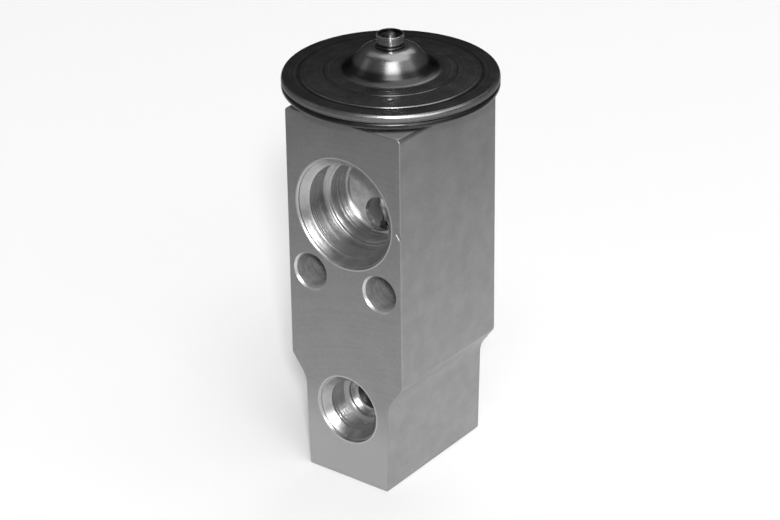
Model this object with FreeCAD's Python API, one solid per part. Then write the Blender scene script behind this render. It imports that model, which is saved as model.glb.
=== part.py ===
import FreeCAD, Part
import math
import os

# An expansion valve of the block type for a vehicle's cooling circuit, upright on its foot.
# The origin is the middle of the foot, +Z is up, the front ports face -Y and X is the width.
# The valve's working axis is the Z axis. All sizes are millimetres.

# The block: a straight extrusion along Y, narrower at its foot
BODY_WIDTH = 26.0
BODY_DEPTH = 29.7
BODY_HEIGHT = 74.1
FOOT_BASE_WIDTH = 18.6
FOOT_TOP_WIDTH = 19.6
SHOULDER_HEIGHT = 23.4
SHOULDER_DROP = 4.5
TOP_CORNER_ROUND = 0.8
SHOULDER_ROUND = 1.2
FOOT_HOLLOW_ROUND = 5.0
FOOT_CORNER_ROUND = 0.4
FACE_EDGE_ROUND = 0.2
NICK_HEIGHT = 55.05
NICK_INSET = 0.4
NICK_RADIUS = 0.5
NICK_BITE = 0.2
NICK_LENGTH = 1.3
NICK_SLANT = 35.0

# The two through holes that bolt the valve between its pipes
BOLT_HEIGHT = 41.9
BOLT_SPACING = 16.0
BOLT_RADIUS = 3.5
BOLT_EDGE = 0.4

# All ports: a small lip and step, a conical seal seat, the pipe's bore with a relief groove at
# its end, a steep ledge with a rounded edge, and an inner bore that narrows to its neck
PORT_LIP = 0.28
PORT_STEP_DEPTH = 0.54
PORT_STEP_SET = 0.1
PORT_RELIEF = 0.12
PORT_RELIEF_WIDTH = 0.35
PORT_LEDGE_ROUND = 0.18
PORT_FLOOR_EDGE = 0.6
PORT_FLOOR_FALL = 0.75

# Front ports: suction gas out above, liquid in below
FRONT_SUCTION_HEIGHT = 55.9
FRONT_SUCTION_MOUTH = 10.9
FRONT_SUCTION_SEAT_DEPTH = 1.75
FRONT_SUCTION_BORE = 9.15
FRONT_SUCTION_BORE_DEPTH = 5.95
FRONT_SUCTION_INNER = 8.0
FRONT_SUCTION_LEDGE_DEPTH = 6.6
FRONT_SUCTION_NECK = 7.6
FRONT_SUCTION_DEPTH = 11.0
FRONT_LIQUID_HEIGHT = 14.9
FRONT_LIQUID_MOUTH = 6.83
FRONT_LIQUID_SEAT_DEPTH = 1.9
FRONT_LIQUID_BORE = 5.25
FRONT_LIQUID_BORE_DEPTH = 5.7
FRONT_LIQUID_INNER = 4.25
FRONT_LIQUID_LEDGE_DEPTH = 5.95
FRONT_LIQUID_NECK = 4.15
FRONT_LIQUID_DEPTH = 7.3
LIQUID_PASSAGE_RADIUS = 3.0

# Rear ports: suction gas in above, cold mixture out below, closer together than the front pair
SUCTION_PASSAGE_RADIUS = 3.3
SUCTION_PASSAGE_DROP = 4.2
REAR_SUCTION_MOUTH = 8.1
REAR_SUCTION_SEAT_DEPTH = 1.4
REAR_SUCTION_BORE = 6.9
REAR_SUCTION_BORE_DEPTH = 7.0
REAR_SUCTION_INNER = 6.2
REAR_SUCTION_LEDGE_DEPTH = 7.4
REAR_SUCTION_NECK = 6.1
REAR_SUCTION_WALL = 1.25
REAR_LIQUID_HEIGHT = 25.6
REAR_LIQUID_MOUTH = 6.2
REAR_LIQUID_SEAT_DEPTH = 1.4
REAR_LIQUID_BORE = 5.0
REAR_LIQUID_BORE_DEPTH = 5.4
REAR_LIQUID_INNER = 4.2
REAR_LIQUID_LEDGE_DEPTH = 5.7
REAR_LIQUID_NECK = 4.1
REAR_LIQUID_DEPTH = 6.8
MIXTURE_PASSAGE_RADIUS = 2.3

# The head: two pressed sheets with the diaphragm between them, on a threaded neck
HEAD_RADIUS = 20.0
COVER_SHEET = 1.3
COVER_RIM_ROUND = 1.1
LOWER_SHEET = 1.2
LOWER_RIM_ROUND = 0.5
RIM_UNDER_EDGE = 0.12
COVER_STEP_RADIUS = 16.4
COVER_STEP_RISE = 0.2
COVER_STEP_ROUND = 0.14
COVER_RING_RADIUS = 12.1
COVER_RING_RISE = 0.14
COVER_SLOPE_RISE = 0.18
STEP_WIDTH = 0.08
BELL_FOOT_RADIUS = 8.6
BELL_TOP_RADIUS = 3.5
BELL_HEIGHT = 5.15
BELL_TOP_ROUND = 1.2
BELL_FOOT_ROUND = 3.5
DIAPHRAGM_SHEET = 0.2
DIAPHRAGM_EDGE_SETBACK = 0.35
CORRUGATION_START = 12.4
CORRUGATION_WIDTH = 1.7
CORRUGATION_DEPTH = 0.3
HOUSING_SEAT_RADIUS = 12.5
HOUSING_BEND_RADIUS = 16.6
HOUSING_SEAT_SHEET = 1.5
HOUSING_BEND_ROUND = 0.8
NECK_RADIUS = 10.0
NECK_WALL = 2.4
NECK_LENGTH = 6.6
NECK_LEAD = 0.6
SOCKET_CLEARANCE = 0.06
SOCKET_FLOOR_GAP = 0.5
HEAD_SEAL_SECTION = 0.72
HEAD_SEAL_GAP = 0.06

# The charging boss and the ball that closes it
BOSS_COLLAR_RADIUS = 2.85
BOSS_COLLAR_HEIGHT = 0.34
BOSS_GROOVE_RADIUS = 2.3
BOSS_GROOVE_HEIGHT = 0.24
BOSS_RADIUS = 2.5
BOSS_HEIGHT = 2.3
BOSS_EDGE = 0.12
BOSS_RECESS_RADIUS = 2.15
BOSS_RECESS_DEPTH = 0.7
CHARGE_HOLE_RADIUS = 0.85
CHARGE_BALL_RADIUS = 1.45
CHARGE_BALL_CLEARANCE = 0.05

# The stem: pad, rod, pin, ball, carrier and damping spring, which travel together
STEM_STROKE = 0.8
PAD_RADIUS = 11.5
PAD_THICKNESS = 1.0
PAD_BOSS_RADIUS = 4.4
PAD_BOSS_HEIGHT = 2.6
PAD_SOCKET_RADIUS = 2.1
PAD_SOCKET_DEPTH = 2.6
PAD_GAP = 0.05
PAD_STOP_MARGIN = 0.11
ROD_RADIUS = 2.7
ROD_TAPER_LENGTH = 2.8
ROD_TIP_RADIUS = 1.95
ROD_TIP_HEIGHT = 0.5
ROD_BORE_CLEARANCE = 0.4
ROD_BORE_SINK = 1.0
ROD_STOP_MARGIN = 0.3
JOINT_GAP = 0.02
PIN_RADIUS = 1.25
PIN_TIP_RADIUS = 0.75
PIN_STEP_HEIGHT = 24.2
PIN_STEP_LENGTH = 0.5
PIN_SOCKET_DEPTH = 2.0
PIN_CLEARANCE = 0.1

# Seal of the pin in the partition between the two passages
PARTITION_FLOOR = 30.0
SEAL_POCKET_FLOOR = 42.5
SEAL_POCKET_RADIUS = 2.7
SEAL_POCKET_GAP = 0.05
SEAL_WASHER_THICKNESS = 0.4
PIN_SEAL_SECTION = 0.6
RETAINER_BODY_HEIGHT = 2.0
RETAINER_COLLAR_RADIUS = 2.3
RETAINER_COLLAR_HEIGHT = 2.2

# Valve chamber, seat, ball and carrier
CHAMBER_RADIUS = 4.9
CHAMBER_ROOF = 18.4
SEAT_RADIUS = 2.7
SEAT_HEIGHT = 3.0
ORIFICE_RADIUS = 1.3
SEAT_CONE_WIDTH = 0.6
BALL_RADIUS = 2.0
BALL_SEAT_GAP = 0.05
CARRIER_RIM_RADIUS = 2.7
CARRIER_CUP_RADIUS = 2.2
CARRIER_FLANGE_RADIUS = 3.7
CARRIER_FLANGE_HEIGHT = 0.8
CARRIER_FLOOR = 0.5
CARRIER_GUIDE_RADIUS = 2.2
CARRIER_GUIDE_LENGTH = 1.6
DAMPER_SHEET = 0.2
DAMPER_WALL_GAP = 0.1
DAMPER_BULGE = 0.6
DAMPER_FINGER_HEIGHT = 2.6
DAMPER_FINGER_WIDTH = 1.8
DAMPER_FINGERS = 3

# Spring and adjuster
SPRING_WIRE_RADIUS = 0.45
SPRING_RADIUS = 3.3
SPRING_TURNS = 4.5
SPRING_POINTS_PER_TURN = 12
SPRING_LENGTH = 6.8
SPRING_END_GAP = 0.02
SCREW_GUIDE_RADIUS = 2.3
SCREW_GUIDE_LENGTH = 1.6
SCREW_NECK_RADIUS = 4.7
SCREW_NECK_LENGTH = 3.0
SCREW_THREAD_RADIUS = 5.4
SCREW_THREAD_LENGTH = 3.6
SCREW_EDGE = 0.4
SCREW_THREAD_CLEARANCE = 0.08
SCREW_TRAVEL = 0.75
SCREW_TRAVEL_MARGIN = 0.15
HEX_WIDTH = 5.0
HEX_DEPTH = 2.6
ADJUSTER_SEAL_SECTION = 0.47
ADJUSTER_SEAL_GAP = 0.05
ADJUSTER_GROOVE_DEPTH = 0.85
ADJUSTER_GROOVE_WIDTH = 1.15
ADJUSTER_GROOVE_OFFSET = 0.8

# How far a cutting tool stands out of the face that it cuts
OVERRUN = 2.0

# Heights along the working axis that several pieces share
CONE_TOUCH = math.sqrt(0.5)
SUCTION_PASSAGE_HEIGHT = FRONT_SUCTION_HEIGHT - SUCTION_PASSAGE_DROP
HOUSING_SHELF = BODY_HEIGHT + HOUSING_SEAT_SHEET
PAD_UNDERSIDE = HOUSING_SHELF + STEM_STROKE + PAD_STOP_MARGIN
PAD_TOP = PAD_UNDERSIDE + PAD_THICKNESS
LOWER_RIM_TOP = PAD_TOP + PAD_GAP
COVER_UNDERSIDE = LOWER_RIM_TOP + DIAPHRAGM_SHEET
HEAD_RIM_TOP = COVER_UNDERSIDE + COVER_SHEET
LOWER_RIM_BOTTOM = LOWER_RIM_TOP - LOWER_SHEET
BELL_TOP = HEAD_RIM_TOP + BELL_HEIGHT
BOSS_TOP = BELL_TOP + BOSS_HEIGHT
CHARGE_BORE_RADIUS = CHARGE_BALL_RADIUS + CHARGE_BALL_CLEARANCE
CHARGE_BALL_HEIGHT = BELL_TOP - CHARGE_HOLE_RADIUS + 2 * CONE_TOUCH * CHARGE_BALL_RADIUS
RETAINER_TOP = (SEAL_POCKET_FLOOR + SEAL_WASHER_THICKNESS + 2 * PIN_SEAL_SECTION
                + RETAINER_BODY_HEIGHT + RETAINER_COLLAR_HEIGHT)
ROD_BOTTOM = RETAINER_TOP + STEM_STROKE + ROD_STOP_MARGIN
ROD_TOP = PAD_UNDERSIDE - PAD_BOSS_HEIGHT + PAD_SOCKET_DEPTH
BALL_HEIGHT = CHAMBER_ROOF + ORIFICE_RADIUS + SEAT_CONE_WIDTH - 2 * CONE_TOUCH * BALL_RADIUS - BALL_SEAT_GAP
CUP_APEX = BALL_HEIGHT - 2 * CONE_TOUCH * BALL_RADIUS
FLANGE_BOTTOM = CUP_APEX
DAMPER_BOTTOM = FLANGE_BOTTOM - DAMPER_SHEET
SCREW_SEAT = DAMPER_BOTTOM - SPRING_LENGTH
SCREW_SHOULDER = SCREW_SEAT - SCREW_NECK_LENGTH
SCREW_BOTTOM = SCREW_SHOULDER - SCREW_THREAD_LENGTH
CHAMBER_FLOOR = SCREW_SHOULDER + SCREW_TRAVEL + SCREW_TRAVEL_MARGIN
GROOVE_TOP = SCREW_SEAT - ADJUSTER_GROOVE_OFFSET


def turned(outline):
    """A piece turned about the working axis from a closed run of (radius, height) corners."""
    corners = [FreeCAD.Vector(radius, 0, height) for radius, height in outline]
    face = Part.Face(Part.makePolygon(corners + corners[:1]))
    return face.revolve(FreeCAD.Vector(0, 0, 0), FreeCAD.Vector(0, 0, 1), 360)


def cylinder(radius, bottom, top):
    return Part.makeCylinder(radius, top - bottom, FreeCAD.Vector(0, 0, bottom))


def ring(radius, section, height):
    """A rubber ring of round section."""
    return Part.makeTorus(radius, section, FreeCAD.Vector(0, 0, height))


def round_circles(shape, radius, size, height=None):
    """Rounds the circular edges at one radius from the working axis, or the one at a height."""
    edges = [edge for edge in shape.Edges
             if isinstance(edge.Curve, Part.Circle) and abs(edge.Curve.Radius - radius) < 1e-6
             and (height is None or abs(edge.Curve.Center.z - height) < 1e-6)]
    return shape.makeFillet(size, edges)


def hexagon(width, bottom, top):
    """A prism with the given width across its flats."""
    reach = width / math.sqrt(3)
    angles = [math.radians(60 * corner) for corner in range(6)]
    corners = [FreeCAD.Vector(reach * math.cos(a), reach * math.sin(a), bottom) for a in angles]
    face = Part.Face(Part.makePolygon(corners + corners[:1]))
    return face.extrude(FreeCAD.Vector(0, 0, top - bottom))


def facing(tool, side, height, across=0.0):
    """Turns a tool made along +Z, mouth at zero, into the front (-1) or rear (+1) face."""
    placed = tool.copy()
    placed.rotate(FreeCAD.Vector(0, 0, 0), FreeCAD.Vector(1, 0, 0), 90 * side)
    placed.translate(FreeCAD.Vector(across, side * BODY_DEPTH / 2, height))
    return placed


def block():
    """The extruded bar before machining: a rectangle whose foot steps in through a slope."""
    half = BODY_WIDTH / 2
    foot_height = SHOULDER_HEIGHT - SHOULDER_DROP
    right = [(FOOT_BASE_WIDTH / 2, 0), (FOOT_TOP_WIDTH / 2, foot_height), (half, SHOULDER_HEIGHT),
             (half, BODY_HEIGHT)]
    outline = right + [(-x, z) for x, z in reversed(right)]
    corners = [FreeCAD.Vector(x, -BODY_DEPTH / 2, z) for x, z in outline]
    bar = Part.Face(Part.makePolygon(corners + corners[:1])).extrude(FreeCAD.Vector(0, BODY_DEPTH, 0))
    rounds = [(0, FOOT_CORNER_ROUND), (foot_height, FOOT_HOLLOW_ROUND),
              (SHOULDER_HEIGHT, SHOULDER_ROUND), (BODY_HEIGHT, TOP_CORNER_ROUND)]
    for height, size in rounds:
        edges = [edge for edge in bar.Edges
                 if abs(edge.BoundBox.YLength - BODY_DEPTH) < 1e-6
                 and abs(edge.CenterOfMass.z - height) < 1e-6]
        bar = bar.makeFillet(size, edges)
    rims = [edge for edge in bar.Edges
            if edge.BoundBox.YLength < 1e-6 and abs(abs(edge.CenterOfMass.y) - BODY_DEPTH / 2) < 1e-6]
    return bar.makeFillet(FACE_EDGE_ROUND, rims)


def port(mouth, seat_depth, bore, bore_depth, inner, ledge_depth, neck, depth):
    """A port's stepped bore, mouth at zero and depth along +Z."""
    lip = mouth - PORT_LIP
    relief = bore + PORT_RELIEF
    relief_start = bore_depth - PORT_RELIEF_WIDTH
    tool = turned([(0, -OVERRUN), (mouth, -OVERRUN), (mouth, 0), (lip, PORT_LIP), (lip, PORT_STEP_DEPTH),
                   (lip - PORT_STEP_SET, PORT_STEP_DEPTH), (bore, seat_depth), (bore, relief_start),
                   (relief, relief_start + PORT_RELIEF), (relief, bore_depth), (inner, ledge_depth),
                   (neck, depth - PORT_FLOOR_FALL), (neck - PORT_FLOOR_EDGE, depth), (0, depth)])
    return round_circles(tool, inner, PORT_LEDGE_ROUND)


def front_ports():
    suction = port(FRONT_SUCTION_MOUTH, FRONT_SUCTION_SEAT_DEPTH, FRONT_SUCTION_BORE,
                   FRONT_SUCTION_BORE_DEPTH, FRONT_SUCTION_INNER, FRONT_SUCTION_LEDGE_DEPTH,
                   FRONT_SUCTION_NECK, FRONT_SUCTION_DEPTH)
    liquid = port(FRONT_LIQUID_MOUTH, FRONT_LIQUID_SEAT_DEPTH, FRONT_LIQUID_BORE,
                  FRONT_LIQUID_BORE_DEPTH, FRONT_LIQUID_INNER, FRONT_LIQUID_LEDGE_DEPTH,
                  FRONT_LIQUID_NECK, FRONT_LIQUID_DEPTH)
    inlet = cylinder(LIQUID_PASSAGE_RADIUS, 0, BODY_DEPTH / 2)
    return [facing(suction, -1, FRONT_SUCTION_HEIGHT), facing(liquid, -1, FRONT_LIQUID_HEIGHT),
            facing(inlet, -1, FRONT_LIQUID_HEIGHT)]


def rear_ports():
    suction_depth = BODY_DEPTH - FRONT_SUCTION_DEPTH - REAR_SUCTION_WALL
    suction = port(REAR_SUCTION_MOUTH, REAR_SUCTION_SEAT_DEPTH, REAR_SUCTION_BORE,
                   REAR_SUCTION_BORE_DEPTH, REAR_SUCTION_INNER, REAR_SUCTION_LEDGE_DEPTH,
                   REAR_SUCTION_NECK, suction_depth)
    passage = cylinder(SUCTION_PASSAGE_RADIUS, 0, BODY_DEPTH - FRONT_SUCTION_DEPTH + REAR_SUCTION_WALL)
    liquid = port(REAR_LIQUID_MOUTH, REAR_LIQUID_SEAT_DEPTH, REAR_LIQUID_BORE, REAR_LIQUID_BORE_DEPTH,
                  REAR_LIQUID_INNER, REAR_LIQUID_LEDGE_DEPTH, REAR_LIQUID_NECK, REAR_LIQUID_DEPTH)
    outlet = cylinder(MIXTURE_PASSAGE_RADIUS, 0, BODY_DEPTH / 2)
    return [facing(suction, 1, SUCTION_PASSAGE_HEIGHT), facing(passage, 1, SUCTION_PASSAGE_HEIGHT),
            facing(liquid, 1, REAR_LIQUID_HEIGHT), facing(outlet, 1, REAR_LIQUID_HEIGHT)]


def bolt_holes():
    """Two through holes with a broken edge at both faces."""
    wide = BOLT_RADIUS + BOLT_EDGE
    far = BODY_DEPTH - BOLT_EDGE
    hole = turned([(0, -OVERRUN), (wide, -OVERRUN), (wide, 0), (BOLT_RADIUS, BOLT_EDGE),
                   (BOLT_RADIUS, far), (wide, BODY_DEPTH), (wide, BODY_DEPTH + OVERRUN),
                   (0, BODY_DEPTH + OVERRUN)])
    return [facing(hole, -1, BOLT_HEIGHT, side * BOLT_SPACING / 2) for side in (-1, 1)]


def axial_bores():
    """The bores on the working axis, from the head's socket down to the adjuster's thread."""
    socket = NECK_RADIUS + SOCKET_CLEARANCE
    socket_floor = BODY_HEIGHT - NECK_LENGTH - SOCKET_FLOOR_GAP
    seal_wall = NECK_RADIUS + 2 * (HEAD_SEAL_SECTION + HEAD_SEAL_GAP)
    seal_floor = BODY_HEIGHT - 2 * (HEAD_SEAL_SECTION + HEAD_SEAL_GAP)
    thread = SCREW_THREAD_RADIUS + SCREW_THREAD_CLEARANCE
    lead = thread - CHAMBER_RADIUS
    rod_bore_floor = SUCTION_PASSAGE_HEIGHT - REAR_SUCTION_INNER + ROD_BORE_SINK
    return [
        cylinder(socket, socket_floor, BODY_HEIGHT + OVERRUN),
        cylinder(seal_wall, seal_floor, BODY_HEIGHT + OVERRUN),
        cylinder(ROD_RADIUS + ROD_BORE_CLEARANCE, rod_bore_floor, socket_floor + OVERRUN),
        cylinder(SEAL_POCKET_RADIUS, SEAL_POCKET_FLOOR, SUCTION_PASSAGE_HEIGHT),
        cylinder(PIN_RADIUS + PIN_CLEARANCE, PARTITION_FLOOR - OVERRUN, SEAL_POCKET_FLOOR + OVERRUN),
        cylinder(MIXTURE_PASSAGE_RADIUS, CHAMBER_ROOF, PARTITION_FLOOR),
        cylinder(SEAT_RADIUS, CHAMBER_ROOF - OVERRUN, CHAMBER_ROOF + SEAT_HEIGHT),
        turned([(0, -OVERRUN), (thread, -OVERRUN), (thread, CHAMBER_FLOOR - lead),
                (CHAMBER_RADIUS, CHAMBER_FLOOR), (CHAMBER_RADIUS, CHAMBER_ROOF), (0, CHAMBER_ROOF)]),
    ]


def edge_nick():
    """A short slanted dent that runs out over the block's front right edge."""
    tool = cylinder(NICK_RADIUS, -NICK_LENGTH / 2, NICK_LENGTH / 2)
    tool.rotate(FreeCAD.Vector(0, 0, 0), FreeCAD.Vector(0, 1, 0), -NICK_SLANT)
    clear = NICK_RADIUS - NICK_BITE
    tool.translate(FreeCAD.Vector(BODY_WIDTH / 2 - NICK_INSET, -BODY_DEPTH / 2 - clear, NICK_HEIGHT))
    return tool


def valve_body():
    tools = front_ports() + rear_ports() + bolt_holes() + axial_bores() + [edge_nick()]
    return block().cut(tools)


def cover_blank():
    """The space under the cover's upper surface, down to the rim's underside."""
    step_top = HEAD_RIM_TOP + COVER_STEP_RISE
    ring_foot = step_top + COVER_SLOPE_RISE
    ring_top = ring_foot + COVER_RING_RISE
    bell_foot = ring_top + COVER_SLOPE_RISE
    solid = turned([(0, COVER_UNDERSIDE), (HEAD_RADIUS, COVER_UNDERSIDE), (HEAD_RADIUS, HEAD_RIM_TOP),
                    (COVER_STEP_RADIUS + STEP_WIDTH, HEAD_RIM_TOP), (COVER_STEP_RADIUS, step_top),
                    (COVER_RING_RADIUS + STEP_WIDTH, ring_foot), (COVER_RING_RADIUS, ring_top),
                    (BELL_FOOT_RADIUS, bell_foot), (BELL_TOP_RADIUS, BELL_TOP), (0, BELL_TOP)])
    solid = round_circles(solid, COVER_STEP_RADIUS, COVER_STEP_ROUND)
    solid = round_circles(solid, BELL_FOOT_RADIUS, BELL_FOOT_ROUND)
    return round_circles(solid, BELL_TOP_RADIUS, BELL_TOP_ROUND)


def head_cover():
    blank = cover_blank()
    hollow = blank.copy()
    hollow.translate(FreeCAD.Vector(0, 0, -COVER_SHEET))
    sheet = blank.cut(hollow)
    sheet = sheet.cut(cylinder(CHARGE_HOLE_RADIUS, COVER_UNDERSIDE, BELL_TOP + OVERRUN))
    sheet = round_circles(sheet, HEAD_RADIUS, COVER_RIM_ROUND, HEAD_RIM_TOP)
    return round_circles(sheet, HEAD_RADIUS, RIM_UNDER_EDGE, COVER_UNDERSIDE)


def head_lower_housing():
    bottom = BODY_HEIGHT - NECK_LENGTH
    inner = NECK_RADIUS - NECK_WALL
    bend = HOUSING_BEND_RADIUS - LOWER_SHEET / 2
    shelf_edge = HOUSING_SEAT_RADIUS - HOUSING_SEAT_SHEET / 4
    piece = turned([(inner, bottom), (NECK_RADIUS - NECK_LEAD, bottom), (NECK_RADIUS, bottom + NECK_LEAD),
                    (NECK_RADIUS, BODY_HEIGHT), (HOUSING_SEAT_RADIUS, BODY_HEIGHT),
                    (HOUSING_BEND_RADIUS, LOWER_RIM_BOTTOM), (HEAD_RADIUS, LOWER_RIM_BOTTOM),
                    (HEAD_RADIUS, LOWER_RIM_TOP), (bend, LOWER_RIM_TOP), (shelf_edge, HOUSING_SHELF),
                    (inner, HOUSING_SHELF)])
    piece = round_circles(piece, HOUSING_BEND_RADIUS, HOUSING_BEND_ROUND)
    piece = round_circles(piece, HOUSING_SEAT_RADIUS, HOUSING_BEND_ROUND)
    return round_circles(piece, HEAD_RADIUS, LOWER_RIM_ROUND)


def diaphragm():
    """A thin disc with two shallow rolled corrugations."""
    outer = HEAD_RADIUS - DIAPHRAGM_EDGE_SETBACK

    def surface(height):
        edges = []
        radius = 0.0
        for start in (CORRUGATION_START, CORRUGATION_START + CORRUGATION_WIDTH):
            if start > radius:
                edges.append(Part.makeLine((radius, 0, height), (start, 0, height)))
            middle = FreeCAD.Vector(start + CORRUGATION_WIDTH / 2, 0, height - CORRUGATION_DEPTH)
            radius = start + CORRUGATION_WIDTH
            arc = Part.Arc(FreeCAD.Vector(start, 0, height), middle, FreeCAD.Vector(radius, 0, height))
            edges.append(arc.toShape())
        edges.append(Part.makeLine((radius, 0, height), (outer, 0, height)))
        return edges

    rim = Part.makeLine((outer, 0, COVER_UNDERSIDE), (outer, 0, LOWER_RIM_TOP))
    core = Part.makeLine((0, 0, LOWER_RIM_TOP), (0, 0, COVER_UNDERSIDE))
    edges = surface(COVER_UNDERSIDE) + [rim] + surface(LOWER_RIM_TOP) + [core]
    wire = Part.Wire(Part.__sortEdges__(edges))
    return Part.Face(wire).revolve(FreeCAD.Vector(0, 0, 0), FreeCAD.Vector(0, 0, 1), 360)


def charge_boss():
    groove = BELL_TOP + BOSS_COLLAR_HEIGHT
    cone_top = BELL_TOP + CHARGE_BORE_RADIUS - CHARGE_HOLE_RADIUS
    recess = BOSS_TOP - BOSS_RECESS_DEPTH
    return turned([(CHARGE_HOLE_RADIUS, BELL_TOP), (BOSS_COLLAR_RADIUS, BELL_TOP),
                   (BOSS_COLLAR_RADIUS, groove), (BOSS_GROOVE_RADIUS, groove),
                   (BOSS_GROOVE_RADIUS, groove + BOSS_GROOVE_HEIGHT),
                   (BOSS_RADIUS, groove + BOSS_GROOVE_HEIGHT), (BOSS_RADIUS, BOSS_TOP - BOSS_EDGE),
                   (BOSS_RADIUS - BOSS_EDGE, BOSS_TOP), (BOSS_RECESS_RADIUS, BOSS_TOP),
                   (BOSS_RECESS_RADIUS, recess), (CHARGE_BORE_RADIUS, recess),
                   (CHARGE_BORE_RADIUS, cone_top)])


def charge_ball():
    return Part.makeSphere(CHARGE_BALL_RADIUS, FreeCAD.Vector(0, 0, CHARGE_BALL_HEIGHT))


def head_seal():
    middle = HEAD_SEAL_SECTION + HEAD_SEAL_GAP
    return ring(NECK_RADIUS + middle, HEAD_SEAL_SECTION, BODY_HEIGHT - middle)


def diaphragm_pad():
    bottom = PAD_UNDERSIDE - PAD_BOSS_HEIGHT
    socket = bottom + PAD_SOCKET_DEPTH
    return turned([(0, PAD_TOP), (PAD_RADIUS, PAD_TOP), (PAD_RADIUS, PAD_UNDERSIDE),
                   (PAD_BOSS_RADIUS, PAD_UNDERSIDE), (PAD_BOSS_RADIUS, bottom),
                   (PAD_SOCKET_RADIUS, bottom), (PAD_SOCKET_RADIUS, socket), (0, socket)])


def sensing_rod():
    """The thick rod in the suction gas, stepped into the pad and hollow at its tip for the pin."""
    shoulder = PAD_UNDERSIDE - PAD_BOSS_HEIGHT - JOINT_GAP
    spigot = PAD_SOCKET_RADIUS - JOINT_GAP
    tip = ROD_BOTTOM + ROD_TIP_HEIGHT
    socket = PIN_RADIUS + JOINT_GAP
    socket_top = ROD_BOTTOM + PIN_SOCKET_DEPTH
    return turned([(socket, ROD_BOTTOM), (ROD_TIP_RADIUS, ROD_BOTTOM), (ROD_TIP_RADIUS, tip),
                   (ROD_RADIUS, tip + ROD_TAPER_LENGTH), (ROD_RADIUS, shoulder), (spigot, shoulder),
                   (spigot, ROD_TOP - JOINT_GAP), (0, ROD_TOP - JOINT_GAP), (0, socket_top),
                   (socket, socket_top)])


def push_pin():
    """The stepped pin that pushes the ball off its seat."""
    bottom = BALL_HEIGHT + BALL_RADIUS + JOINT_GAP
    top = ROD_BOTTOM + PIN_SOCKET_DEPTH - JOINT_GAP
    return turned([(0, bottom), (PIN_TIP_RADIUS, bottom), (PIN_TIP_RADIUS, PIN_STEP_HEIGHT),
                   (PIN_RADIUS, PIN_STEP_HEIGHT + PIN_STEP_LENGTH), (PIN_RADIUS, top), (0, top)])


def seal_washer():
    outer = SEAL_POCKET_RADIUS - SEAL_POCKET_GAP
    inner = PIN_RADIUS + PIN_CLEARANCE
    top = SEAL_POCKET_FLOOR + SEAL_WASHER_THICKNESS
    return turned([(inner, SEAL_POCKET_FLOOR), (outer, SEAL_POCKET_FLOOR), (outer, top), (inner, top)])


def pin_seal():
    height = SEAL_POCKET_FLOOR + SEAL_WASHER_THICKNESS + PIN_SEAL_SECTION
    return ring(PIN_RADIUS + PIN_CLEARANCE + PIN_SEAL_SECTION, PIN_SEAL_SECTION, height)


def seal_retainer():
    """A flanged bush that is pressed over the seal and stands up in the suction passage."""
    outer = SEAL_POCKET_RADIUS - SEAL_POCKET_GAP
    inner = PIN_RADIUS + PIN_CLEARANCE
    bottom = RETAINER_TOP - RETAINER_COLLAR_HEIGHT - RETAINER_BODY_HEIGHT
    step = RETAINER_TOP - RETAINER_COLLAR_HEIGHT
    return turned([(inner, bottom), (outer, bottom), (outer, step), (RETAINER_COLLAR_RADIUS, step),
                   (RETAINER_COLLAR_RADIUS, RETAINER_TOP), (inner, RETAINER_TOP)])


def valve_seat():
    top = CHAMBER_ROOF + SEAT_HEIGHT
    return turned([(ORIFICE_RADIUS + SEAT_CONE_WIDTH, CHAMBER_ROOF), (SEAT_RADIUS, CHAMBER_ROOF),
                   (SEAT_RADIUS, top), (ORIFICE_RADIUS, top),
                   (ORIFICE_RADIUS, CHAMBER_ROOF + SEAT_CONE_WIDTH)])


def valve_ball():
    return Part.makeSphere(BALL_RADIUS, FreeCAD.Vector(0, 0, BALL_HEIGHT))


def ball_carrier():
    """A cup with a 45 degree cone for the ball, a flange for the spring and a guide inside it."""
    rim = CUP_APEX + CARRIER_CUP_RADIUS
    flange_top = FLANGE_BOTTOM + CARRIER_FLANGE_HEIGHT
    guide_bottom = FLANGE_BOTTOM - CARRIER_GUIDE_LENGTH
    return turned([(0, guide_bottom), (CARRIER_GUIDE_RADIUS, guide_bottom),
                   (CARRIER_GUIDE_RADIUS, FLANGE_BOTTOM), (CARRIER_FLANGE_RADIUS, FLANGE_BOTTOM),
                   (CARRIER_FLANGE_RADIUS, flange_top), (CARRIER_RIM_RADIUS, flange_top),
                   (CARRIER_RIM_RADIUS, rim), (CARRIER_CUP_RADIUS, rim),
                   (CARRIER_FLOOR, CUP_APEX + CARRIER_FLOOR), (0, CUP_APEX + CARRIER_FLOOR)])


def damping_spring():
    """A flat ring under the carrier's flange whose bent-up fingers rub on the chamber wall."""
    inner = CARRIER_GUIDE_RADIUS + JOINT_GAP
    wall = CHAMBER_RADIUS - DAMPER_WALL_GAP
    bend = wall - DAMPER_BULGE
    top = DAMPER_BOTTOM + DAMPER_FINGER_HEIGHT
    middle = (DAMPER_BOTTOM + top) / 2
    flat = turned([(inner, DAMPER_BOTTOM), (bend, DAMPER_BOTTOM), (bend, FLANGE_BOTTOM),
                   (inner, FLANGE_BOTTOM)])
    skirt = turned([(bend - DAMPER_SHEET, DAMPER_BOTTOM), (bend, DAMPER_BOTTOM), (wall, middle),
                    (bend, top), (bend - DAMPER_SHEET, top), (wall - DAMPER_SHEET, middle),
                    (bend - DAMPER_SHEET, FLANGE_BOTTOM)])
    fingers = []
    for number in range(DAMPER_FINGERS):
        strip = Part.makeBox(2 * CHAMBER_RADIUS, DAMPER_FINGER_WIDTH, 2 * DAMPER_FINGER_HEIGHT,
                             FreeCAD.Vector(0, -DAMPER_FINGER_WIDTH / 2, DAMPER_BOTTOM))
        strip.rotate(FreeCAD.Vector(0, 0, 0), FreeCAD.Vector(0, 0, 1), 90 + 360 * number / DAMPER_FINGERS)
        fingers.append(skirt.common(strip))
    return flat.fuse(fingers).removeSplitter()


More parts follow.
